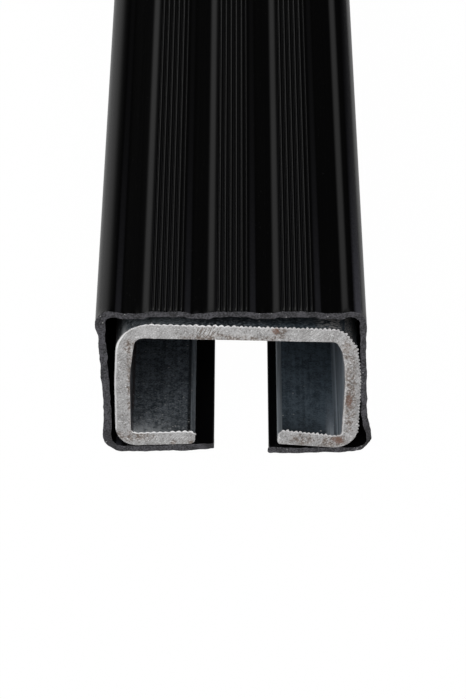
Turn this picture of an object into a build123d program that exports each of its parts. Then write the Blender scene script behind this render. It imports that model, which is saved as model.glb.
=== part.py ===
from build123d import *
import os
from math import atan2, tan

# Roof rack crossbar: a roll-formed steel channel, open below, inside an extruded black sleeve.
# Millimetres. Origin at the middle of the underside, +Y along the bar, +Z up towards the load.

# The bar as a whole, sawn square at both ends
BAR_LENGTH = 1200.0

# Steel channel, rolled from one galvanised strip, which the rolls thin at its bends
STRIP = 2.0  # gauge of the strip
CHANNEL_WIDTH = 30.6  # over the side walls
CHANNEL_HEIGHT = 18.6  # from the underside of the lips to the top of the web
CHANNEL_SLOT = 10.4  # clear gap between the lips
WEB_BEND_INSIDE = 1.3  # radii of the bend from web to side wall
WEB_BEND_OUTSIDE = 4.4
LIP_BEND_INSIDE = 0.7  # radii of the bend from side wall to lip
LIP_BEND_OUTSIDE = 2.7
SLIT_EDGE = 0.7  # rounding that slitting leaves below on the strip's free edges
LIP_BEVEL = 0.5  # bevel that the rolls press above on the free edges

# Plastic sleeve, slid over the channel, which lies on its floor
SLEEVE_WALL = 0.8
SIDE_CLEARANCE = 0.45  # sleeve to channel, on each side
ROOF_CLEARANCE = 1.1  # top of the web to the lowest underside of the roof
SLEEVE_SLOT = 7.0  # clear gap between the two floor flanges
ROOF_CORNER = 1.1  # inside radius, roof to side wall
FLOOR_CORNER = 1.7  # inside radius, side wall to floor
FLANGE_EDGE = 0.25  # rounding on the free edges of the floor flanges

# Grip pattern of the roof: a raised rim along each side, raised bands between, fine grooves on the bands
RIM_LEVEL = 0.35  # level width of a rim, between its rounded corner and its slope
BAND_CREST = 4.35  # level width of a band
BAND_PITCH = 8.0
BAND_RISE = 0.28  # rims and bands above the valleys
SLOPE_RUN = 0.77  # width of the slope between a valley and a crest
SLOPE_EASE = 1.0  # outside radius where a slope meets a valley or a crest
GROOVE_PITCH = 0.7
GROOVE_WIDTH = 0.4
GROOVE_DEPTH = 0.2

# Levels and half widths that follow from the sizes above
channel_base = SLEEVE_WALL
channel_top = channel_base + CHANNEL_HEIGHT
sleeve_inside = CHANNEL_WIDTH / 2 + SIDE_CLEARANCE
sleeve_outside = sleeve_inside + SLEEVE_WALL
rim_edge = sleeve_inside - ROOF_CORNER - RIM_LEVEL
roof_valley = channel_top + ROOF_CLEARANCE + SLEEVE_WALL
roof_crest = roof_valley + BAND_RISE


def extruded_bar(outline):
    """A solid along the whole bar from (x, z, corner radius) points round its section."""
    points = [(x, z) for x, z, radius in outline]
    radii = [radius for x, z, radius in outline]
    section = make_face(FilletPolyline(points, radius=radii, close=True))
    return extrude(Plane.XZ * section, amount=BAR_LENGTH / 2, both=True)


def mirrored(right_half):
    """A left-to-right row of points from its right half, listed from the middle outwards."""
    left_half = [(-x, z, radius) for x, z, radius in reversed(right_half)]
    return left_half + right_half


def steel_channel():
    """Web on top, two side walls and two lips turned in below, each lip with a bevelled free edge."""
    side = CHANNEL_WIDTH / 2
    lip_end = CHANNEL_SLOT / 2
    outside = [
        (side, channel_top, WEB_BEND_OUTSIDE),
        (side, channel_base, LIP_BEND_OUTSIDE),
        (lip_end, channel_base, SLIT_EDGE),
    ]
    inside = [
        (side - STRIP, channel_top - STRIP, WEB_BEND_INSIDE),
        (side - STRIP, channel_base + STRIP, LIP_BEND_INSIDE),
        (lip_end + LIP_BEVEL, channel_base + STRIP, 0),
        (lip_end, channel_base + STRIP - LIP_BEVEL, 0),
    ]
    return extruded_bar(mirrored(outside) + mirrored(inside)[::-1])


def band_centres():
    """Middle of each raised band: as many as leave a full valley beside each rim."""
    valley = BAND_PITCH - BAND_CREST - 2 * SLOPE_RUN
    between_rims = 2 * (rim_edge - SLOPE_RUN)
    count = int((between_rims - valley) / BAND_PITCH)
    return [(i - (count - 1) / 2) * BAND_PITCH for i in range(count)]


def groove_centres(band):
    """Middle of each fine groove on the level part of one band."""
    slope_angle = atan2(BAND_RISE, SLOPE_RUN)
    level = BAND_CREST - 2 * SLOPE_EASE * tan(slope_angle / 2)
    count = int((level - GROOVE_WIDTH) / GROOVE_PITCH) + 1
    return [band + (i - (count - 1) / 2) * GROOVE_PITCH for i in range(count)]


def roof(valley, crest, grooved):
    """Points across the roof between the two side walls, left to right, at one face of its wall."""
    points = [(-rim_edge, crest, SLOPE_EASE), (-rim_edge + SLOPE_RUN, valley, SLOPE_EASE)]
    for band in band_centres():
        half = BAND_CREST / 2
        points += [(band - half - SLOPE_RUN, valley, SLOPE_EASE), (band - half, crest, SLOPE_EASE)]
        for groove in groove_centres(band) if grooved else []:
            points += [
                (groove - GROOVE_WIDTH / 2, crest, 0),
                (groove, crest - GROOVE_DEPTH, 0),
                (groove + GROOVE_WIDTH / 2, crest, 0),
            ]
        points += [(band + half, crest, SLOPE_EASE), (band + half + SLOPE_RUN, valley, SLOPE_EASE)]
    return points + [(rim_edge - SLOPE_RUN, valley, SLOPE_EASE), (rim_edge, crest, SLOPE_EASE)]


def plastic_sleeve():
    """Roof, two side walls and two floor flanges of one wall, with the slot between the flanges."""
    slot = SLEEVE_SLOT / 2
    under_roof = roof_crest - SLEEVE_WALL
    outside = [
        (-slot, 0, FLANGE_EDGE),
        (-sleeve_outside, 0, FLOOR_CORNER + SLEEVE_WALL),
        (-sleeve_outside, roof_crest, ROOF_CORNER + SLEEVE_WALL),
        *roof(roof_valley, roof_crest, grooved=True),
        (sleeve_outside, roof_crest, ROOF_CORNER + SLEEVE_WALL),
        (sleeve_outside, 0, FLOOR_CORNER + SLEEVE_WALL),
        (slot, 0, FLANGE_EDGE),
    ]
    inside = [
        (-slot, SLEEVE_WALL, FLANGE_EDGE),
        (-sleeve_inside, SLEEVE_WALL, FLOOR_CORNER),
        (-sleeve_inside, under_roof, ROOF_CORNER),
        *roof(roof_valley - SLEEVE_WALL, under_roof, grooved=False),
        (sleeve_inside, under_roof, ROOF_CORNER),
        (sleeve_inside, SLEEVE_WALL, FLOOR_CORNER),
        (slot, SLEEVE_WALL, FLANGE_EDGE),
    ]
    return extruded_bar(outside + inside[::-1])


os.makedirs("parts", exist_ok=True)
export_step(steel_channel(), "parts/steel_channel.step")
export_step(plastic_sleeve(), "parts/plastic_sleeve.step")
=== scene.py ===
import math

import bpy
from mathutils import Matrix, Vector


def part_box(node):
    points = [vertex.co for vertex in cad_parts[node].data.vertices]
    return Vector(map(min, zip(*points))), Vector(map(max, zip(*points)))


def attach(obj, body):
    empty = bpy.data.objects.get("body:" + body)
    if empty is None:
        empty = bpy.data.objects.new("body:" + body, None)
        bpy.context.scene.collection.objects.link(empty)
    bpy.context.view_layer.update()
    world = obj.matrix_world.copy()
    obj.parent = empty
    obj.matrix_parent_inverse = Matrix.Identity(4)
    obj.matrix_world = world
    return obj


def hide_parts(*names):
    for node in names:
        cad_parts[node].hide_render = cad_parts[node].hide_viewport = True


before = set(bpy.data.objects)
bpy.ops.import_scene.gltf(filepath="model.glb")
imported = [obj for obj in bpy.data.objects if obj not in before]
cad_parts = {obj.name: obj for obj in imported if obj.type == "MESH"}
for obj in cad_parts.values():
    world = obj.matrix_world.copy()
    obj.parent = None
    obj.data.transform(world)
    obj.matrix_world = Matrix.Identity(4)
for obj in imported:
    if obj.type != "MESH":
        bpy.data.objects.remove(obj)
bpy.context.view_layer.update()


# Steel channel: the core that carries the load, one galvanised strip roll-formed into a channel, open
# below. It is sawn off at both ends, lies loose in the sleeve, and has come out of the rolls a little
# askew: its web leans, and the right lip turns up towards its free edge.

MM = 0.001
channel_low, channel_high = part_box("steel_channel")
near_end = channel_low.y
far_end = channel_high.y

# Corners of the section in millimetres: place across the bar, height, bend radius
channel_corners = [
    # left lip from its free edge, left wall and the web, which leans down to the right
    (-5.3, 1.15, 0.8), (-15.32, 0.85, 2.7), (-15.3, 11.0, 15.0), (-14.85, 19.86, 4.3),
    # right bend, tight at the top and slow down the wall, and the right lip, turned up to its free edge
    (12.9, 18.87, 2.4), (14.7, 16.3, 4.0), (15.33, 11.0, 15.0), (15.0, 0.33, 2.9),
    (5.02, 1.17, 0.4), (5.14, 2.7, 0.22), (5.66, 3.2, 0.22),
    # inside: the right bend is pressed thin, the walls curve in towards the web
    (13.1, 2.24, 0.7), (13.44, 12.0, 15.0), (12.98, 15.5, 3.5), (12.22, 17.08, 0.7),
    (-12.62, 17.68, 1.2), (-13.36, 12.0, 15.0), (-13.36, 2.82, 0.7),
    # left lip inside and its bevelled free edge
    (-5.78, 3.06, 0.45), (-5.3, 2.62, 0.3),
]


class Wire:
    """An output socket of a node. Expressions on it add Math nodes, and node() adds any other node."""

    def __init__(self, tree, socket=None):
        self.tree = tree
        self.socket = socket

    def node(self, kind, settings=None, sockets=None):
        """A new node's first output: its settings are set first, then its sockets' values and links."""
        made = self.tree.nodes.new(kind)
        for name, value in (settings or {}).items():
            if name == "stops":
                ramp = made.color_ramp.elements
                while len(ramp) < len(value):
                    ramp.new(1.0)
                for stop, (place, colour) in zip(ramp, value):
                    stop.position = place
                    stop.color = colour
            else:
                setattr(made, name, value)
        for name, value in (sockets or {}).items():
            if isinstance(value, Wire):
                self.tree.links.new(value.socket, made.inputs[name])
            else:
                made.inputs[name].default_value = value
        return Wire(self.tree, made.outputs[0] if made.outputs else None)

    def output(self, name):
        """Another output of the same node, by its name or number."""
        return Wire(self.tree, self.socket.node.outputs[name])

    def math(self, operation, other=0.0):
        return self.node("ShaderNodeMath", {"operation": operation}, {0: self, 1: other})

    def vector(self, operation, other=(0, 0, 0)):
        return self.node("ShaderNodeVectorMath", {"operation": operation}, {0: self, 1: other})

    def length(self):
        return self.vector("LENGTH").output("Value")

    def scaled(self, factor):
        return self.node("ShaderNodeVectorMath", {"operation": "SCALE"}, {0: self, "Scale": factor})

    def parts(self):
        """The parts of a vector: across the bar, along it and up."""
        split = self.node("ShaderNodeSeparateXYZ", {}, {0: self})
        return split, split.output(1), split.output(2)

    def across_bar(self):
        """This vector without its part along the bar."""
        return self.vector("MULTIPLY", (1, 0, 1))

    def facing(self, direction):
        """1 where this direction looks the same way as that one, and 0 where it is square to it."""
        return self.vector("DOT_PRODUCT", direction).output("Value")

    def step(self, low, high):
        """0 below low, 1 above high and a smooth rise between."""
        settings = {"interpolation_type": "SMOOTHSTEP"}
        return self.node("ShaderNodeMapRange", settings, {0: self, 1: low, 2: high})

    def fading(self, reach):
        """1 where this distance is 0, fading out over about that reach."""
        return (0 - self / reach).math("EXPONENT")

    def mix(self, first, second):
        """The first colour where this is 0 and the second where it is 1."""
        mixed = self.node("ShaderNodeMix", {"data_type": "RGBA"}, {0: self, 6: first, 7: second})
        return mixed.output(2)

    def stored(self, name):
        """What the mesh has stored under that name, as a vector."""
        return self.node("ShaderNodeAttribute", {"attribute_name": name}).output("Vector")

    def drawn_out(self, across, along, up):
        """This place, so that a pattern on it is drawn out in each direction with a share under 1."""
        return self.vector("MULTIPLY", (across, along, up))

    def noise(self, size, detail=2.0):
        """Soft noise over this place, with spots about as large as size."""
        return self.node("ShaderNodeTexNoise", {}, {"Vector": self, "Scale": 1 / size, "Detail": detail})

    def specks(self, size, share):
        """Round specks at this place, one in each cell of that size for the given share of the cells."""
        cell = self.node("ShaderNodeTexVoronoi", {}, {"Vector": self, "Scale": 1 / size})
        lot = self.node("ShaderNodeSeparateColor", {}, {0: cell.output("Color")})
        return (1 - cell.step(0.2, 0.42)) * lot.math("LESS_THAN", share)

    def __add__(self, other):
        return self.math("ADD", other)

    def __sub__(self, other):
        return self.math("SUBTRACT", other)

    def __rsub__(self, other):
        return self.node("ShaderNodeMath", {"operation": "SUBTRACT"}, {0: other, 1: self})

    def __mul__(self, other):
        return self.math("MULTIPLY", other)

    def __truediv__(self, other):
        return self.math("DIVIDE", other)

    def __rtruediv__(self, other):
        return self.node("ShaderNodeMath", {"operation": "DIVIDE"}, {0: other, 1: self})

    __radd__ = __add__
    __rmul__ = __mul__


def drawn_section(name, corners):
    """The closed line through a section's corners, with each corner's bend radius and steps round it.

    A fourth number says how far up the saw dragged that corner at the cut.
    """
    degrees_a_step = 7
    count = len(corners)
    points = [Vector((x, 0.0, z)) * MM for x, z, *_ in corners]
    mesh = bpy.data.meshes.new(name)
    mesh.from_pydata(points, [(i, (i + 1) % count) for i in range(count)], [])
    for attribute, kind in (("bend", "FLOAT"), ("steps", "INT"), ("drag", "FLOAT")):
        mesh.attributes.new(attribute, kind, "POINT")
    bends, steps, drags = (mesh.attributes[attribute].data for attribute in ("bend", "steps", "drag"))
    for i, (_, _, bend, *drag) in enumerate(corners):
        turn = (points[i] - points[i - 1]).angle(points[(i + 1) % count] - points[i])
        bends[i].value = bend * MM
        drags[i].value = sum(drag) * MM
        steps[i].value = max(1, round(math.degrees(turn) / degrees_a_step)) if bend else 1
    piece = bpy.data.objects.new(name, mesh)
    bpy.context.scene.collection.objects.link(piece)
    return piece


def kept(given, name, kind="FLOAT"):
    """What the section's points, or the faces made from them, keep under that name."""
    return given.node("GeometryNodeInputNamedAttribute", {"data_type": kind}, {"Name": name})


def rounded_section(given):
    """The drawn section with its corners rounded and its straight runs divided, upright to the bar."""
    line = given.node("GeometryNodeMeshToCurve", {}, {"Mesh": given.output("Section")})
    line = line.node("GeometryNodeFilletCurve", {"mode": "POLY"}, {
        "Curve": line, "Count": kept(given, "steps", "INT"), "Radius": kept(given, "bend")})
    place = given.node("GeometryNodeInputPosition")
    index = given.node("GeometryNodeInputIndex")
    following = given.node("GeometryNodeOffsetPointInCurve", {}, {"Point Index": index, "Offset": 1})
    next_place = given.node("GeometryNodeFieldAtIndex", {"data_type": "FLOAT_VECTOR"}, {
        "Value": place, "Index": following.output("Point Index")})
    run = next_place.vector("SUBTRACT", place).length()
    cuts = (run / given.output("Longest Run")).math("FLOOR")
    line = line.node("GeometryNodeSubdivideCurve", {}, {"Curve": line, "Cuts": cuts})
    along = given.node("GeometryNodeSplineParameter").output("Length")
    line = line.node("GeometryNodeStoreNamedAttribute", {}, {
        "Geometry": line, "Name": "along", "Value": along})
    return line.node("GeometryNodeTransform", {}, {"Geometry": line, "Rotation": (math.pi / 2, 0, 0)})


def bar_path(given):
    """The line along the bar, with stations that crowd towards its two sawn ends."""
    near, far = given.output("Near End"), given.output("Far End")
    stations, crowding = given.output("Stations"), given.output("Crowding")
    share = 2 * given.node("GeometryNodeInputIndex") / (stations - 1) - 1
    grown = (crowding * (1 - share.math("ABSOLUTE"))).math("EXPONENT") - 1
    crowded = 1 - grown / (crowding.math("EXPONENT") - 1)
    station = (near + far) / 2 + (far - near) / 2 * crowded * share.math("SIGN")
    station = given.node("ShaderNodeCombineXYZ", {}, {"Y": station})
    path = given.node("GeometryNodeMeshLine", {}, {"Count": stations})
    path = path.node("GeometryNodeSetPosition", {}, {"Geometry": path, "Position": station})
    path = path.node("GeometryNodeMeshToCurve", {}, {"Mesh": path})
    return path.node("GeometryNodeSetCurveNormal", {"mode": "Z_UP"}, {"Curve": path})


def from_end(given):
    """How far a point of the mesh lies behind the nearer sawn end."""
    y = given.node("GeometryNodeInputPosition").parts()[1]
    return (y - given.output("Near End")).math("MINIMUM", given.output("Far End") - y)


def sawn(given):
    """1 on the faces that look squarely along the bar, where it is sawn, and 0 on the others."""
    squarely = 0.9
    along = given.node("GeometryNodeInputNormal").parts()[1]
    return along.math("ABSOLUTE").math("GREATER_THAN", squarely)


def rolled_side(given):
    """How squarely an edge faces the side where the saw rolls edges over."""
    return kept(given, "outward", "FLOAT_VECTOR").facing(given.output("Rolled Side"))


def knocked(bar, given):
    """The bar with a knock at the near end, which has pushed the section aside there."""
    place = given.node("GeometryNodeInputPosition")
    behind = place.parts()[1] - given.output("Near End")
    away = place.vector("SUBTRACT", given.output("Flare Centre")).across_bar().length()
    pushed = 1 - (away / given.output("Flare Reach")).step(0.15, 1.0)
    pushed = pushed * behind.fading(given.output("Flare Depth"))
    return bar.node("GeometryNodeSetPosition", {}, {
        "Geometry": bar, "Offset": given.output("Flare Push").scaled(pushed)})


def rimmed(bar, given):
    """The bar with a narrow rim round each sawn face, marked 1 at its outer edge and 0 at its inner."""
    normal = given.node("GeometryNodeInputNormal")
    bar = bar.node("GeometryNodeStoreNamedAttribute", {"data_type": "FLOAT_VECTOR"}, {
        "Geometry": bar, "Name": "outward", "Value": normal.across_bar().vector("NORMALIZE")})
    has_rim = given.output("Rim Width").math("GREATER_THAN", 0.0)
    bar = bar.node("GeometryNodeExtrudeMesh", {}, {
        "Mesh": bar, "Selection": sawn(given) * has_rim, "Offset Scale": 0.0, "Individual": False})
    return bar.node("GeometryNodeStoreNamedAttribute", {}, {
        "Geometry": bar, "Name": "rim", "Value": 1 - bar.output("Top")})


def burr_teeth(given):
    """How far the burr stands out: a row of uneven teeth along the edges of the saw's burr side."""
    least_tooth = 0.55  # share of the burr's height that every tooth has
    x = given.node("GeometryNodeInputPosition").parts()[0]
    on_left = x.math("LESS_THAN", 0.0)
    pitch = on_left * given.output("Left Pitch") + (1 - on_left) * given.output("Burr Pitch")
    tooth = kept(given, "along") / pitch
    draw = given.node("ShaderNodeCombineXYZ", {}, {"X": tooth.math("FLOOR"), "Y": given.output("Seed")})
    height = given.node("ShaderNodeTexWhiteNoise", {"noise_dimensions": "2D"}, {"Vector": draw})
    height = least_tooth + (1 - least_tooth) * height
    tooth = (tooth * math.pi).math("SINE").math("ABSOLUTE") * height
    burr = kept(given, "outward", "FLOAT_VECTOR").facing(given.output("Burr Side"))
    burr = (burr + x * given.output("Burr Growth")).step(0.4, 0.9)
    return tooth * burr * kept(given, "rim") * given.output("Burr Height")


def roughened(bar, given):
    """The bar as the saw left it: a burr on one side, rolled edges opposite, a ragged line all round."""
    finest_bend = 0.15 * MM
    fade = from_end(given).fading(given.output("Saw Depth"))
    ragged = given.node("ShaderNodeTexNoise", {"noise_dimensions": "4D"}, {
        "Vector": given.node("GeometryNodeInputPosition"), "W": given.output("Seed"),
        "Scale": 1 / given.output("Ragged Size"), "Detail": 3.0}) - 0.5
    rough = burr_teeth(given) + ragged * 2 * given.output("Ragged Height")
    towards_end = (1 - from_end(given) / given.output("Rolled Edge")).math("MAXIMUM")
    rounding = 1 - (1 - towards_end * towards_end).math("SQRT")
    rough = rough * fade - rolled_side(given).step(0.6, 0.95) * rounding * given.output("Rolled Edge")
    rough = rough - (1 - kept(given, "rim")) * given.output("Rim Width")
    dragged = given.node("ShaderNodeCombineXYZ", {}, {"Z": kept(given, "drag") * fade})

    # Points of the finest bends move only up and down, so that a groove never folds over itself
    wide_bend = kept(given, "bend").math("GREATER_THAN", finest_bend)
    free = given.node("ShaderNodeCombineXYZ", {}, {"X": wide_bend, "Z": 1.0})
    moved = kept(given, "outward", "FLOAT_VECTOR").vector("MULTIPLY", free).scaled(rough)
    return bar.node("GeometryNodeSetPosition", {}, {
        "Geometry": bar, "Offset": moved.vector("ADD", dragged)})


def finished(bar, given):
    """The bar with smooth faces that meet in sharp edges, and with its two finishes."""
    crease_angle = math.radians(28)
    bar = bar.node("GeometryNodeSetShadeSmooth", {"domain": "FACE"}, {"Geometry": bar})
    crease = given.node("GeometryNodeInputMeshEdgeAngle").math("GREATER_THAN", crease_angle)
    bar = bar.node("GeometryNodeSetShadeSmooth", {"domain": "EDGE"}, {
        "Geometry": bar, "Selection": crease, "Shade Smooth": False})
    bar = bar.node("GeometryNodeRealizeInstances", {}, {"Geometry": bar})
    bar = bar.node("GeometryNodeSetMaterial", {}, {"Geometry": bar, "Material": given.output("Surface")})
    bare_depth = given.output("Bare Depth") * rolled_side(given).step(0.05, 0.5)
    bare = from_end(given).math("LESS_THAN", bare_depth)
    return bar.node("GeometryNodeSetMaterial", {}, {
        "Geometry": bar, "Selection": sawn(given).math("MAXIMUM", bare),
        "Material": given.output("Sawn Face")})


def sawn_bar_tree():
    """Runs a drawn section along the bar, knocks it and roughens its edges where the saw left them."""
    tree = bpy.data.node_groups.new("sawn_bar", "GeometryNodeTree")
    sockets = {
        "Geometry": ("Section",),
        "Float": ("Near End", "Far End", "Crowding", "Longest Run", "Rim Width", "Burr Height",
                  "Burr Pitch", "Left Pitch", "Burr Growth", "Rolled Edge", "Ragged Height", "Ragged Size",
                  "Saw Depth", "Bare Depth", "Flare Reach", "Flare Depth"),
        "Int": ("Stations", "Seed"),
        "Vector": ("Burr Side", "Rolled Side", "Flare Centre", "Flare Push"),
        "Material": ("Surface", "Sawn Face"),
    }
    for kind, names in sockets.items():
        for name in names:
            tree.interface.new_socket(name, in_out="INPUT", socket_type="NodeSocket" + kind)
    tree.interface.new_socket("Bar", in_out="OUTPUT", socket_type="NodeSocketGeometry")
    given = Wire(tree).node("NodeGroupInput")
    path = bar_path(given)
    bar = path.node("GeometryNodeCurveToMesh", {}, {
        "Curve": path, "Profile Curve": rounded_section(given), "Fill Caps": True})
    bar = knocked(bar, given)
    bar = rimmed(bar, given)
    bar = roughened(bar, given)
    bar = finished(bar, given)
    bar.node("NodeGroupOutput", {}, {"Bar": bar})
    return tree


def run_along_bar(piece, tree, **sizes):
    """Makes a drawn section into the finished bar, as a plain mesh."""
    modifier = piece.modifiers.new(tree.name, "NODES")
    modifier.node_group = tree
    for socket in tree.interface.items_tree:
        size_name = socket.name.replace(" ", "_")
        if size_name in sizes:
            modifier[socket.identifier] = sizes[size_name]
    mesh = bpy.data.meshes.new_from_object(piece.evaluated_get(bpy.context.evaluated_depsgraph_get()))
    piece.modifiers.clear()
    piece.data = mesh
    return piece


def new_material(name):
    """An empty material, its shader and the place on the object in millimetres, to paint it by."""
    material = bpy.data.materials.new(name)
    material.use_nodes = True
    shader = material.node_tree.nodes["Principled BSDF"]
    place = Wire(material.node_tree).node("ShaderNodeTexCoord").output("Object")
    return material, shader, place.scaled(1 / MM)


def feed(shader, **values):
    """Sets the shader's sockets: a wire is linked, and a number or colour is set on the socket itself."""
    for name, value in values.items():
        socket = shader.inputs[name.replace("_", " ")]
        if isinstance(value, Wire):
            value.tree.links.new(value.socket, socket)
        else:
            socket.default_value = value


def bump(height, strength, depth):
    return height.node("ShaderNodeBump", {}, {"Strength": strength, "Distance": depth, "Height": height})


def grey(level):
    return (level, level, level, 1)


def from_sawn_end(place):
    """How many millimetres a place lies behind the nearer sawn end."""
    y = place.parts()[1]
    return (y - near_end / MM).math("MINIMUM", far_end / MM - y)


def patches(place, spots):
    """1 in the middle of each spot on the near sawn end and 0 outside them all.

    A spot is its x and z, its half width and its half height, in millimetres.
    """
    core = 0.3  # share of a spot's half size inside which it is full
    near_half = place.parts()[1].math("LESS_THAN", 0.0)
    spread = None
    for x, z, half_width, half_height in spots:
        offset = place.vector("SUBTRACT", (x, 0, z))
        offset = offset.vector("MULTIPLY", (1 / half_width, 0, 1 / half_height))
        spot = 1 - offset.length().step(core, 1.0)
        spread = spot if spread is None else spread.math("MAXIMUM", spot)
    return near_half * spread


FLECK_AND_PAINTED_LIGHT_REACH = 8.0  # how many millimetres behind the cut the flecks and the painted light from the open end reach, then the dust, painted shade and painted highlights, then the haze painted as lit
DUST_AND_PAINTED_LIGHT_REACH = 3.0
LIT_HAZE_REACH = 1.1


def right_half(place):
    """1 on the right half of the channel, where its zinc is bluer, and 0 on the left."""
    return place.parts()[0].step(1.0, 5.0)


def under_roof(place):
    """1 on top of the web, under the sleeve's roof, and 0 lower down."""
    return place.parts()[2].step(18.4, 18.8)


def on_lips(place):
    """1 on the lips and 0 higher up."""
    return 1 - place.parts()[2].step(4.0, 6.0)


def zinc_in_hollow(place, tone, blot, fleck):
    """Zinc as rolled, bluer on the right: flecked behind the cut on the left and painted paler there as the
    light falling in, with a dust haze painted near white as lit, and painted shade near the cut.
    """
    left_dark, left_pale = (0.036, 0.045, 0.055, 1), (0.17, 0.2, 0.235, 1)
    right_dark, right_pale = (0.06, 0.08, 0.1, 1), (0.165, 0.212, 0.255, 1)
    near_cut_lit_dark, near_cut_lit_pale = (0.068, 0.085, 0.1, 1), (0.34, 0.37, 0.4, 1)
    lit_haze_white, fleck_white = (0.92, 0.95, 0.97, 1), (0.7, 0.74, 0.74, 1)
    shade = (0.03, 0.035, 0.04, 1)
    right = right_half(place)
    lower = 1 - under_roof(place)
    behind = from_sawn_end(place)
    near_cut = behind.fading(FLECK_AND_PAINTED_LIGHT_REACH)
    past_haze = place.parts()[0].step(-11.5, -6.5)
    zinc = tone.mix(right.mix(left_dark, right_dark), right.mix(left_pale, right_pale))
    # painted light: near the cut on the left the zinc is painted paler, fading into the channel as the
    # light from the open end does
    colour = (near_cut * (1 - right) * lower).mix(zinc, tone.mix(near_cut_lit_dark, near_cut_lit_pale))
    # a haze of dust near the cut on the left, painted near white as a pool of light on it
    lit_haze = behind.fading(LIT_HAZE_REACH) * lower * blot.step(0.28, 0.52) * (1 - past_haze)
    colour = lit_haze.mix(colour, lit_haze_white)
    # painted shade near the cut, most to the right of the haze and on the right half
    shaded = behind.fading(DUST_AND_PAINTED_LIGHT_REACH) * lower * (0.12 + 0.36 * past_haze + 0.17 * right)
    colour = shaded.mix(colour, shade)
    flecked = fleck.step(0.61, 0.7) * (1 - right) * (0.3 + 0.7 * near_cut)
    return (0.75 * flecked).mix(colour, fleck_white)


def zinc_under_roof(colour, place, fleck):
    """On top of the web: painted light towards the left, painted shade a little behind the cut under the
    roof, crumbs on the right.
    """
    lit, fleck_pale = (0.29, 0.33, 0.35, 1), (0.42, 0.46, 0.49, 1)
    unlit, crumb_pale = (0.012, 0.014, 0.016, 1), (0.58, 0.55, 0.53, 1)
    x, _, z = place.parts()
    top = under_roof(place)
    # painted light on the left of the web top
    colour = (0.4 * top * (1 - x.step(-9.0, -3.0))).mix(colour, lit)
    colour = (0.85 * top * fleck.step(0.53, 0.68)).mix(colour, fleck_pale)
    colour = (0.7 * top * (1 - fleck.step(0.36, 0.46))).mix(colour, unlit)
    # painted shade a little behind the cut, under the roof's edge
    in_shade = from_sawn_end(place).step(0.4, 1.5) * x.step(-8.0, -1.0)
    colour = (0.5 * top * in_shade).mix(colour, unlit)
    on_bend = x.step(13.1, 13.4) * z.step(16.0, 16.6)
    strewn = (top * x.step(9.0, 11.5)).math("MAXIMUM", on_bend) * fleck.step(0.4, 0.6)
    return (0.8 * strewn).mix(colour, crumb_pale)


def zinc_on_edges(colour, place, blot):
    """Painted shade round the outer bends, the lips' bevelled free edges painted pale as lit, and a painted
    shade line beside the left one.
    """
    bend_shade, shade_line_black = (0.012, 0.013, 0.015, 1), (0.006, 0.007, 0.008, 1)
    lit_edge_dark, lit_edge_pale = (0.25, 0.275, 0.3, 1), (0.47, 0.52, 0.56, 1)
    shade_line_at = -6.06
    x, _, z = place.parts()
    side = x.math("ABSOLUTE")
    right = right_half(place)
    lips = on_lips(place)
    shaded_outer_bend = side.step(13.9, 14.5) * z.step(14.0, 16.0)
    # painted shade round the outer bends, as in the sleeve's shade
    colour = (0.85 * shaded_outer_bend).mix(colour, bend_shade)
    # painted light: the lips' bevelled free edges painted pale, mottled, as the light their bevel catches
    lit_free_edge = (1 - (side + 0.2 * right).step(5.8, 5.95)) * (0.55 + 0.2 * right)
    rolled = place.drawn_out(1, 0.02, 1).noise(0.16).step(0.35, 0.65)
    colour = (lips * lit_free_edge).mix(colour, rolled.mix(lit_edge_dark, lit_edge_pale))
    near_cut = from_sawn_end(place).fading(FLECK_AND_PAINTED_LIGHT_REACH)
    # a painted shade line just beside the left lip's free edge
    shade_line = 1 - (x - shade_line_at).math("ABSOLUTE").step(0.1, 0.27)
    shade_line = shade_line * (0.4 + 0.3 * near_cut + 0.3 * blot.step(0.36, 0.5))
    return (lips * shade_line).mix(colour, shade_line_black)


def zinc_in_bends(colour, place, streak, cloud):
    """Inside the bends: painted highlights on the right, near the cut and up the inner wall, beside a
    painted shade line in the crease; stained brown on the left.
    """
    bend_highlight_pale, wall_reflection_pale = (0.72, 0.77, 0.83, 1), (0.56, 0.62, 0.68, 1)
    crease_shade, stain_brown = (0.03, 0.03, 0.04, 1), (0.07, 0.045, 0.042, 1)
    crease_at = 12.33
    x, _, z = place.parts()
    lips = on_lips(place)
    below_web = 1 - z.step(15.5, 17.0)
    behind = from_sawn_end(place)
    # painted highlight on the right lip near the cut, where its bend reflects the light
    bend_highlight = behind.fading(DUST_AND_PAINTED_LIGHT_REACH) * x.step(10.9, 11.8) * (1 - x.step(12.1, 12.3))
    colour = (0.75 * lips * bend_highlight * streak.step(0.3, 0.55)).mix(colour, bend_highlight_pale)
    # painted reflection, streaked along the bar, up the inner face of the right wall
    wall_reflection = 0.3 + 0.6 * place.drawn_out(1, 0.006, 0.2).noise(0.25, 3.0).step(0.35, 0.65)
    colour = (wall_reflection * below_web * x.step(12.1, 12.4)).mix(colour, wall_reflection_pale)
    # a painted shade line in the crease of the right bend, near the cut
    crease = 1 - (x - crease_at).math("ABSOLUTE").step(0.04, 0.14)
    colour = (0.75 * lips * behind.fading(FLECK_AND_PAINTED_LIGHT_REACH) * crease).mix(colour, crease_shade)
    stained = below_web * (1 - x.step(-13.25, -12.95)) * cloud.step(0.3, 0.6)
    return (0.8 * stained).mix(colour, stain_brown)


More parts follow.
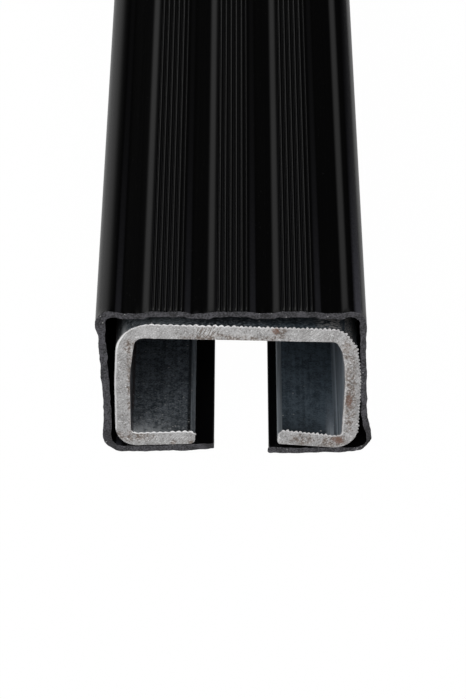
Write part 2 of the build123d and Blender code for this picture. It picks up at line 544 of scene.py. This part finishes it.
def galvanised_material():
    """Dull zinc: streaks along the strip from the rolls, fine grain, pale saw dust behind the cut, and
    painted light and shade in the hollow, under the roof, on the edges and in the bends.
    """
    dust_grey = grey(0.45)
    material, shader, place = new_material("galvanised_zinc")
    streak = place.drawn_out(1, 0.02, 1).noise(0.45, 3.0)
    cloud = place.noise(2.5, 3.0)
    blot = place.noise(0.75, 3.0)
    grain = place.noise(0.22, 3.0)
    fleck = place.drawn_out(0.45, 1, 1).noise(0.2, 4.0)
    tone = (0.22 * streak + 0.15 * cloud + 0.25 * blot + 0.38 * grain).step(0.4, 0.6)
    colour = zinc_in_hollow(place, tone, blot, fleck)
    colour = zinc_under_roof(colour, place, fleck)
    colour = zinc_on_edges(colour, place, blot)
    colour = zinc_in_bends(colour, place, streak, cloud)
    dusty = 0.03 + 0.5 * from_sawn_end(place).fading(DUST_AND_PAINTED_LIGHT_REACH) * (1 - 0.6 * under_roof(place))
    dust = place.specks(0.34, dusty * (1 - 0.9 * right_half(place))) * grain.step(0.35, 0.6)
    feed(shader, Base_Color=dust.mix(colour, dust_grey), Metallic=0.7 - 0.5 * dust,
         Roughness=0.42 + 0.25 * grain, Normal=bump(tone, strength=0.35, depth=0.04 * MM))
    return material


def scratches(place, lean):
    """Fine scratches on a sawn end, which lean to the right by that many degrees from upright."""
    turned = place.node("ShaderNodeVectorRotate", {"rotation_type": "Y_AXIS"}, {
        "Vector": place, "Angle": math.radians(-lean)})
    return turned.drawn_out(1, 1, 0.12).noise(0.16, 3.0)


def scored_steel(colour, place):
    """Steel that the saw has scored in places, with dark and white scratches."""
    scored_spots = (  # x, z, half width, half height, then the lean, the dark share and the white share
        (-3.4, 18.6, 2.8, 1.7, 25, 0.8, 0.55), (9.0, 18.2, 4.5, 1.3, 52, 0.15, 0.4),
        (-8.5, 1.9, 4.0, 1.2, 43, 0.1, 0.4),
    )
    score_brown, score_white = (0.14, 0.105, 0.08, 1), grey(0.8)
    for *spot, lean, dark, white in scored_spots:
        scored = patches(place, [spot])
        score = scratches(place, lean)
        colour = (dark * scored * (1 - score.step(0.4, 0.5))).mix(colour, score_brown)
        colour = (white * scored * score.step(0.53, 0.62)).mix(colour, score_white)
    return colour


def pitted_steel(colour, place, fleck, blot):
    """Steel with brown patches, dark pits that are most in them, and white flecks."""
    pitted_spots = (
        (-13.3, 10.0, 0.65, 9.0), (-12.9, 2.4, 3.2, 1.2), (-13.2, 16.4, 1.1, 1.8), (-2.5, 17.7, 6.5, 0.8),
        (2.5, 17.5, 3.0, 0.7), (5.2, 18.6, 1.4, 1.4), (13.6, 15.9, 1.0, 2.2), (14.0, 9.0, 1.2, 9.0),
        (8.2, 1.8, 2.2, 1.2), (12.0, 1.5, 2.6, 1.3), (-8.0, 1.4, 0.6, 0.5), (-5.9, 1.5, 0.5, 0.5),
    )
    smooth_spots = ((-10.5, 18.8, 5.5, 2.4), (9.5, 18.3, 4.0, 1.4))
    pit_brown, pit_dark = (0.21, 0.142, 0.098, 1), (0.085, 0.062, 0.048, 1)
    fleck_white = grey(0.82)
    pitted = patches(place, pitted_spots)
    colour = (0.45 * pitted * blot.step(0.4, 0.6)).mix(colour, pit_brown)
    pits = (0.7 * fleck + 0.3 * blot + 0.08 * pitted).step(0.54, 0.67)
    pits = pits * (0.7 - 0.5 * patches(place, smooth_spots))
    colour = pits.mix(colour, pit_dark)
    return (0.7 * fleck.math("LESS_THAN", 0.35)).mix(colour, fleck_white)


def painted_edge_highlights(place, blot):
    """1 where a highlight is painted, on the tips of the burr and along the edges that face up to the left,
    and 0 elsewhere.
    """
    up_to_left = (-0.35, 0, 0.94)
    x, _, z = place.parts()
    faced = place.stored("outward").facing(up_to_left).step(0.1, 0.6)
    edge = place.stored("rim").parts()[0].step(0.15, 0.6) * faced * (0.92 - 0.52 * x.step(0.0, 7.0))
    return edge * (1 - 0.6 * z.step(18.0, 19.0) * (1 - blot.step(0.44, 0.56)))


def sawn_steel_material():
    """Bare steel under the saw: slanting scratches, painted highlights on its edges, painted shade lower
    down, dark pits and the first brown of rust.
    """
    rust_spots = ((4.74, 18.85, 0.8, 1.0), (13.96, 8.0, 0.7, 1.8), (12.72, 1.8, 1.3, 1.1))
    steel_dark, steel_pale = (0.272, 0.267, 0.264, 1), (0.562, 0.558, 0.56, 1)
    lower_shade, bright, rust_brown = grey(0.05), grey(0.97), (0.18, 0.09, 0.058, 1)
    material, shader, place = new_material("sawn_steel")
    scratch = scratches(place, lean=38)
    cloud = place.noise(1.4, 3.0)
    grain = place.noise(0.2, 4.0)
    fleck = place.noise(0.23, 4.0)
    blot = place.noise(0.6, 3.0)
    tone = (0.25 * scratch + 0.3 * cloud + 0.45 * grain).step(0.37, 0.62)
    # painted shade: the sawn face darker below the web, as the light falls mostly on its top
    lit_from_above = place.parts()[2].step(12.0, 16.5)
    colour = (0.14 * (1 - lit_from_above)).mix(tone.mix(steel_dark, steel_pale), lower_shade)
    colour = scored_steel(colour, place)
    colour = pitted_steel(colour, place, fleck, blot)
    rust = (grain + 0.3 * patches(place, rust_spots)).step(0.62, 0.86)
    colour = (0.85 * rust).mix(colour, rust_brown)
    # painted highlights: burr tips and edges facing up to the left painted near white
    edge = painted_edge_highlights(place, blot)
    feed(shader, Base_Color=edge.mix(colour, bright), Metallic=(0.75 - 0.6 * rust) * (1 - 0.8 * edge),
         Roughness=0.5 + 0.25 * rust, Normal=bump(scratch + grain, strength=0.5, depth=0.03 * MM))
    return material


sawn_bar = sawn_bar_tree()
channel = run_along_bar(
    drawn_section("steel_channel_rolled", channel_corners), sawn_bar,
    Near_End=near_end, Far_End=far_end, Stations=41, Crowding=9.4, Longest_Run=0.1 * MM,
    Rim_Width=0.18 * MM, Burr_Height=0.34 * MM, Burr_Pitch=0.54 * MM, Left_Pitch=0.78 * MM,
    Burr_Side=(0.5, 0.0, 0.87), Burr_Growth=0.017 / MM,
    Rolled_Edge=0.14 * MM, Rolled_Side=(-1.0, 0.0, 0.0),
    Ragged_Height=0.05 * MM, Ragged_Size=0.6 * MM, Saw_Depth=0.2 * MM, Bare_Depth=0.12 * MM, Seed=3,
    Surface=galvanised_material(), Sawn_Face=sawn_steel_material(),
)
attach(channel, "root")
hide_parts("steel_channel")


# Plastic sleeve: one black extrusion, slid over the channel, with raised grooved bands that grip the load.
# It fits loosely: it sits over to the left, its floor sags on the right, its lower right corner is knocked
# out at the end, and the saw has left its edges wavy and torn.

sleeve_low, sleeve_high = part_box("plastic_sleeve")
WALL = 0.8  # these sizes and the corners below are in millimetres
BANDS = 3
BAND_PITCH = 8.0
BAND_CREST = 4.35
BAND_RISE = 0.28
SLOPE_RUN = 0.77
SLOPE_EASE = 1.0
RIM_FROM_SIDE = 2.3  # side of the sleeve to the top of the rim's slope
GROOVES = 6
GROOVE_PITCH = 0.7
GROOVE_WIDTH = 0.4
GROOVE_DEPTH = 0.22
GROOVE_EDGE = 0.14  # rounding of a groove's edges
FIRST_EDGE = 0.1  # and of a band's first edge, close beside its slope
GROOVE_BED = 0.08
LAST_GROOVE = 0.5  # share of its width and depth that the last groove of a band has
BANDS_SHIFT = -0.66  # how far left the bands sit over the channel
ROOF_LIFT = 0.11  # how far the roof stands above, and its two corners left of, where a true one would be
LEFT_SHIFT = 0.74
RIGHT_SHIFT = 0.65
crest = sleeve_high.z / MM + ROOF_LIFT
roof_left = sleeve_low.x / MM - LEFT_SHIFT
roof_right = sleeve_high.x / MM - RIGHT_SHIFT


def roof_line(top, grooved):
    """Corners across the roof from its left rim to its right rim, for its upper or lower face."""
    def slope(foot, head, rising):
        ends = [(foot, top - BAND_RISE, SLOPE_EASE), (head, top, SLOPE_EASE)]
        return ends if rising else ends[::-1]
    rim = roof_left + RIM_FROM_SIDE
    line = slope(rim + SLOPE_RUN, rim, rising=False)
    for band in range(BANDS):
        centre = BANDS_SHIFT + (band - (BANDS - 1) / 2) * BAND_PITCH
        line += slope(centre - BAND_CREST / 2 - SLOPE_RUN, centre - BAND_CREST / 2, rising=True)
        for groove in range(GROOVES if grooved else 0):
            middle = centre + (groove - (GROOVES - 1) / 2) * GROOVE_PITCH
            share = LAST_GROOVE if groove == GROOVES - 1 else 1.0
            left_edge = FIRST_EDGE if groove == 0 else share * GROOVE_EDGE
            line += [(middle - share * GROOVE_WIDTH / 2, top, left_edge),
                     (middle, top - share * GROOVE_DEPTH, share * GROOVE_BED, share * GROOVE_DEPTH),
                     (middle + share * GROOVE_WIDTH / 2, top, share * GROOVE_EDGE)]
        line += slope(centre + BAND_CREST / 2 + SLOPE_RUN, centre + BAND_CREST / 2, rising=False)
    rim = roof_right - RIM_FROM_SIDE
    return line + slope(rim - SLOPE_RUN, rim, rising=True)


outside = [
    # floor left of the slot, left wall and the rim that overhangs it
    (-2.89, 0.4, 0.25), (-6.5, 0.02, 12.0), (-16.98, -0.03, 2.5), (-16.71, 6.8, 25.0),
    (-17.17, 18.1, 0.5), (-17.5, 19.2, 0.6), (roof_left, crest, 2.0),
    *roof_line(crest, grooved=True),
    # right rim, right wall and the floor right of the slot
    (roof_right, crest, 1.85), (15.9, 16.5, 10.0), (16.18, 8.5, 25.0), (16.3, -0.08, 2.8),
    (8.0, -0.29, 20.0), (3.95, -0.29, 0.25),
]
inside = [
    (-2.89, 1.21, 0.25), (-6.5, 1.0, 12.0), (-15.85, 0.75, 1.6), (-15.78, 7.0, 25.0),
    (-16.2, 17.0, 15.0), (-16.3, crest - WALL, 1.05),
    *roof_line(crest - WALL, grooved=False),
    (15.03, crest - WALL, 1.1), (15.5, 10.0, 25.0), (15.5, 0.5, 1.5), (8.0, 0.44, 20.0), (3.95, 0.52, 0.25),
]


def black_plastic_material():
    """Smooth black extrusion with faint die lines along it, and a lighter bluish tint on faces that look
    right, most on the right rim, towards its sawn ends.
    """
    black, dust_grey, tint_blue = (0.0014, 0.0014, 0.0015, 1), grey(0.014), (0.062, 0.062, 0.074, 1)
    tint_reach = 20.0
    rim_starts, rim_full = roof_right - 2.6, roof_right - 1.6
    material, shader, place = new_material("black_extrusion")
    die_lines = place.drawn_out(1, 0.004, 1).noise(0.35)
    dust = place.noise(0.4, 3.0)
    colour = dust.step(0.68, 0.8).mix(black, dust_grey)
    facing_right = place.stored("outward").parts()[0]
    blue_tint = facing_right.step(0.08, 0.35) * (1 - facing_right.step(0.6, 0.7))
    blue_tint = blue_tint * from_sawn_end(place).fading(tint_reach)
    on_rim = place.parts()[0].step(rim_starts, rim_full)
    colour = (blue_tint * (0.5 + dust) * (0.24 + 0.76 * on_rim)).mix(colour, tint_blue)
    feed(shader, Base_Color=colour, Roughness=0.16 + 0.1 * die_lines + 0.1 * blue_tint,
         Normal=bump(die_lines, strength=0.12, depth=0.01 * MM), IOR=1.42)
    return material


def sawn_plastic_material():
    """The sleeve's sawn edge: dull, grey and grainy, with torn pale crumbs."""
    torn_spots = ((15.75, 10.9, 0.6, 1.0), (15.2, 0.6, 1.6, 0.6))
    sooty_spots = ((16.3, 2.2, 1.8, 3.4), (-16.0, 1.4, 1.6, 2.4), (-3.2, 0.8, 1.6, 0.8))
    grain_dark, grain_pale = (0.006, 0.006, 0.0075, 1), (0.079, 0.077, 0.087, 1)
    soot, crumb_grey = grey(0.006), grey(0.3)
    material, shader, place = new_material("sawn_plastic")
    grain = place.noise(0.22, 4.0)
    cloud = place.noise(1.1, 2.0)
    colour = (0.7 * grain + 0.3 * cloud).step(0.4, 0.6).mix(grain_dark, grain_pale)
    colour = (0.55 * patches(place, sooty_spots)).mix(colour, soot)
    crumbs = place.specks(0.3, 0.015 + 0.6 * patches(place, torn_spots))
    feed(shader, Base_Color=crumbs.mix(colour, crumb_grey), Roughness=0.75,
         Normal=bump(grain + cloud, strength=0.8, depth=0.08 * MM))
    return material


sleeve = run_along_bar(
    drawn_section("plastic_sleeve_extruded", outside + inside[::-1]), sawn_bar,
    Near_End=near_end, Far_End=far_end, Stations=45, Crowding=8.9, Longest_Run=0.2 * MM,
    Burr_Height=0.06 * MM, Burr_Pitch=1.3 * MM, Left_Pitch=1.3 * MM, Burr_Side=(0.0, 0.0, 1.0),
    Ragged_Height=0.3 * MM, Ragged_Size=1.5 * MM, Saw_Depth=0.5 * MM, Seed=5,
    Flare_Centre=(16.2 * MM, 0.0, 0.2 * MM), Flare_Push=(0.8 * MM, 0.0, 0.1 * MM),
    Flare_Reach=6.6 * MM, Flare_Depth=2.0 * MM,
    Surface=black_plastic_material(), Sawn_Face=sawn_plastic_material(),
)
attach(sleeve, "root")
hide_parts("plastic_sleeve")


# Floor: a plain white studio table under the bar.
# It looks white to the camera and in reflections, with a share of plain matt grey that keeps a soft shadow.

FLOOR_HALF = 30.0
FLOOR_LEVEL = -0.45 * MM
FLOOR_WHITE = 1.02  # a little over 1, so that with the matt share it comes to plain white
MATT_SHARE = 0.03
SHADED_SHARE = 0.3  # of its white that is mirrored where it lies in shade, beside and behind the bar
SHADE_STARTS = near_end / MM - 2
SHADE_FULL = near_end / MM + 12
floor_mesh = bpy.data.meshes.new("studio_floor")
floor_mesh.from_pydata(
    [(x * FLOOR_HALF, y * FLOOR_HALF, FLOOR_LEVEL) for x, y in ((-1, -1), (1, -1), (1, 1), (-1, 1))],
    [], [(0, 1, 2, 3)])
floor = bpy.data.objects.new("studio_floor", floor_mesh)
bpy.context.scene.collection.objects.link(floor)
floor_material, shader, place = new_material("white_floor")
feed(shader, Base_Color=grey(0.5), Roughness=1.0, Specular_IOR_Level=0.0)
rays = place.node("ShaderNodeLightPath")
mirrored = rays.output("Is Glossy Ray").math("MAXIMUM", rays.output("Is Transmission Ray"))
in_shade = place.parts()[1].step(SHADE_STARTS, SHADE_FULL)
mirrored = mirrored * (1 - (1 - SHADED_SHARE) * in_shade)
seen = rays.output("Is Camera Ray").math("MAXIMUM", mirrored)
white = place.node("ShaderNodeEmission", {}, {"Color": grey(1), "Strength": FLOOR_WHITE})
matt = Wire(place.tree, shader.outputs[0])
shown = place.node("ShaderNodeMixShader", {}, {0: seen * (1 - MATT_SHARE), 1: matt, 2: white})
place.tree.links.new(shown.socket, place.tree.nodes["Material Output"].inputs["Surface"])
floor_mesh.materials.append(floor_material)


# Light: a dark studio with a pale wall behind to the left and a dimmer one behind to the right.
# A broad soft box stands over the camera and faces the near end of the bar.

WALLS = [  # how bright the studio behind the bar is, from the left at 0 to the right at 1
    (0.22, grey(0.56)), (0.31, grey(0.45)), (0.4, grey(0.17)), (0.48, grey(0.01)), (0.6, grey(0.01)),
    (0.68, (0.03, 0.03, 0.031, 1)), (0.76, (0.12, 0.12, 0.124, 1)),
]
BEHIND_CAMERA = (0.016, 0.016, 0.017, 1)
BOX_TURN = math.radians(-173)  # from the direction of the far end towards the right
BOX_LIFT = math.radians(42)
BOX_DISTANCE = 3.0
BOX_WIDTH = 3.4
BOX_HEIGHT = 2.6
BOX_RADIANCE = 3.4
world = bpy.data.worlds.new("studio")
world.use_nodes = True
bpy.context.scene.world = world
across, along, _ = Wire(world.node_tree).node("ShaderNodeTexCoord").parts()
walls = across.node("ShaderNodeValToRGB", {"stops": WALLS}, {0: 0.5 * across + 0.5})
studio = along.step(-0.2, 0.2).mix(BEHIND_CAMERA, walls)
across.tree.links.new(studio.socket, world.node_tree.nodes["Background"].inputs["Color"])
lamp = bpy.data.lights.new("front_box", "AREA")
lamp.shape = "RECTANGLE"
lamp.size = BOX_WIDTH
lamp.size_y = BOX_HEIGHT
lamp.energy = BOX_RADIANCE * math.pi * BOX_WIDTH * BOX_HEIGHT
away = Vector((math.sin(BOX_TURN) * math.cos(BOX_LIFT), math.cos(BOX_TURN) * math.cos(BOX_LIFT),
               math.sin(BOX_LIFT)))
front_box = bpy.data.objects.new("front_box", lamp)
front_box.location = Vector((0.0, near_end, channel_high.z)) + away * BOX_DISTANCE
front_box.rotation_euler = away.to_track_quat("Z", "Y").to_euler()
bpy.context.scene.collection.objects.link(front_box)


# Camera: a long lens close in front of the sawn end, looking down on it at the photograph's angle.
# The sensor spans the longer side of the picture, which is its height.

FRAME_HEIGHT = 699  # pixels of the photograph
FOCAL_PIXELS = 3278
DOWNWARD = math.radians(36.6)
TO_THE_LEFT = math.radians(0.074)
CAMERA_ACROSS = -0.1 * MM
CAMERA_BEFORE_END = 324.7 * MM
CAMERA_UP = 257.1 * MM
eye = bpy.data.cameras.new("camera")
eye.sensor_fit = "AUTO"
eye.sensor_width = 36.0
eye.lens = FOCAL_PIXELS / FRAME_HEIGHT * eye.sensor_width
eye.clip_start = 0.01
eye.clip_end = 200.0
camera = bpy.data.objects.new("camera", eye)
camera.location = (CAMERA_ACROSS, near_end - CAMERA_BEFORE_END, CAMERA_UP)
camera.rotation_euler = (math.pi / 2 - DOWNWARD, 0.0, TO_THE_LEFT)
bpy.context.scene.collection.objects.link(camera)
bpy.context.scene.camera = camera

# Colours are shown as they are
bpy.context.scene.view_settings.view_transform = "Standard"
